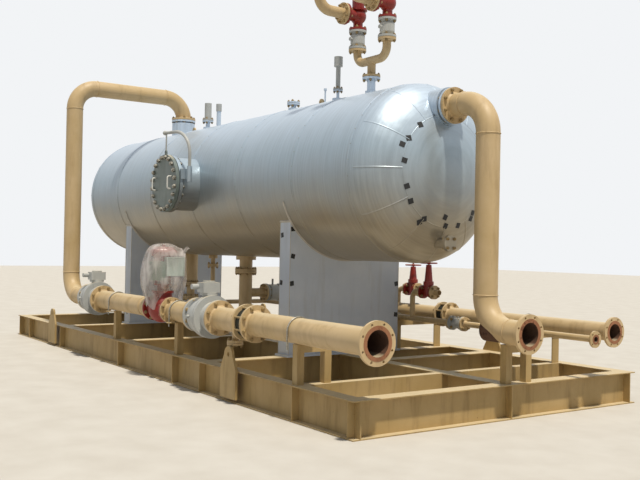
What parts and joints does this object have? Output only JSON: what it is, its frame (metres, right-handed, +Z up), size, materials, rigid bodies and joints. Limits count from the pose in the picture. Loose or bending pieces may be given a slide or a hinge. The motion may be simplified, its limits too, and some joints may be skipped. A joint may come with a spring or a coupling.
{
  "type": "skid-mounted separator vessel",
  "caption": "Horizontal insulated separator vessel on a beam skid, with flanged piping, a control valve, relief valves and a hinged manway cover.",
  "frame": {"origin": "underside of the skid's centre stringer, half way along the skid", "axes": "+X along the skid towards the open pipe ends, +Y across it away from the manway, +Z up"},
  "size_m": [8.948, 3.6483, 4.4996],
  "materials": {
    "beige_paint": "satin",
    "cladding": "bright",
    "saddle_sheet": "matte",
    "grey_paint": "satin",
    "red_paint": "satin",
    "cast_iron": "matte",
    "instrument_paint": "satin",
    "bag_film": "glossy",
    "plated_steel": "satin"
  },
  "bodies": {
    "skid_and_vessel": {"ball_valves_8in": "grey_paint", "ball_valves_small": "grey_paint", "bottom_nozzles": "beige_paint", "branch_stubs": "beige_paint", "check_valves": "cast_iron", "control_valve_actuator": "red_paint", "control_valve_body": "red_paint", "gas_riser_left": "beige_paint", "gate_valves": "red_paint", "head_drain_nozzle": "cladding", "head_front": "cladding", "head_nozzle": "cladding", "head_rear": "cladding", "lifting_padeyes": "beige_paint", "line_2in": "beige_paint", "line_6in": "beige_paint", "line_8in_left": "beige_paint", "liquid_drops": "beige_paint", "manway_neck": "cladding", "plastic_bag": "bag_film", "positioner": "instrument_paint", "relief_ball_valves": "grey_paint", "relief_nozzle": "cladding", "relief_tail_pipes": "beige_paint", "relief_tee": "beige_paint", "relief_valves": "red_paint", "riser_front": "beige_paint", "saddles": "saddle_sheet", "skid_cross_beams": "beige_paint", "skid_end_beams": "beige_paint", "skid_side_beams": "beige_paint", "skid_stringer": "beige_paint", "small_top_nozzles": "cladding", "support_frames": "beige_paint", "support_posts": "beige_paint", "top_instruments": "grey_paint", "top_nozzle_rear": "cladding", "u_bolts": "plated_steel", "vessel_lugs": "beige_paint", "vessel_shell": "cladding", "web_stiffeners": "beige_paint"},
    "manway_door": {"manway_cover": "grey_paint", "manway_davit": "grey_paint"},
    "wheel_6in": {"handwheel_6in_branch": "red_paint"},
    "wheel_2in": {"handwheel_2in_branch": "red_paint"}
  },
  "joints": [
    {"name": "davit_swing", "type": "hinge", "parent": "skid_and_vessel", "child": "manway_door", "pos_m": [0.235, -1.07, 2.3], "axis": [0, 0, 1], "range_deg": [0, 100]},
    {"name": "handwheel_6in_turn", "type": "hinge", "parent": "skid_and_vessel", "child": "wheel_6in", "pos_m": [1.742, 1.138, 1.266], "axis": [0, 0, 1], "continuous": true},
    {"name": "handwheel_2in_turn", "type": "hinge", "parent": "skid_and_vessel", "child": "wheel_2in", "pos_m": [2.315, 0.869, 1.302], "axis": [0, 0, 1], "continuous": true}
  ]
}
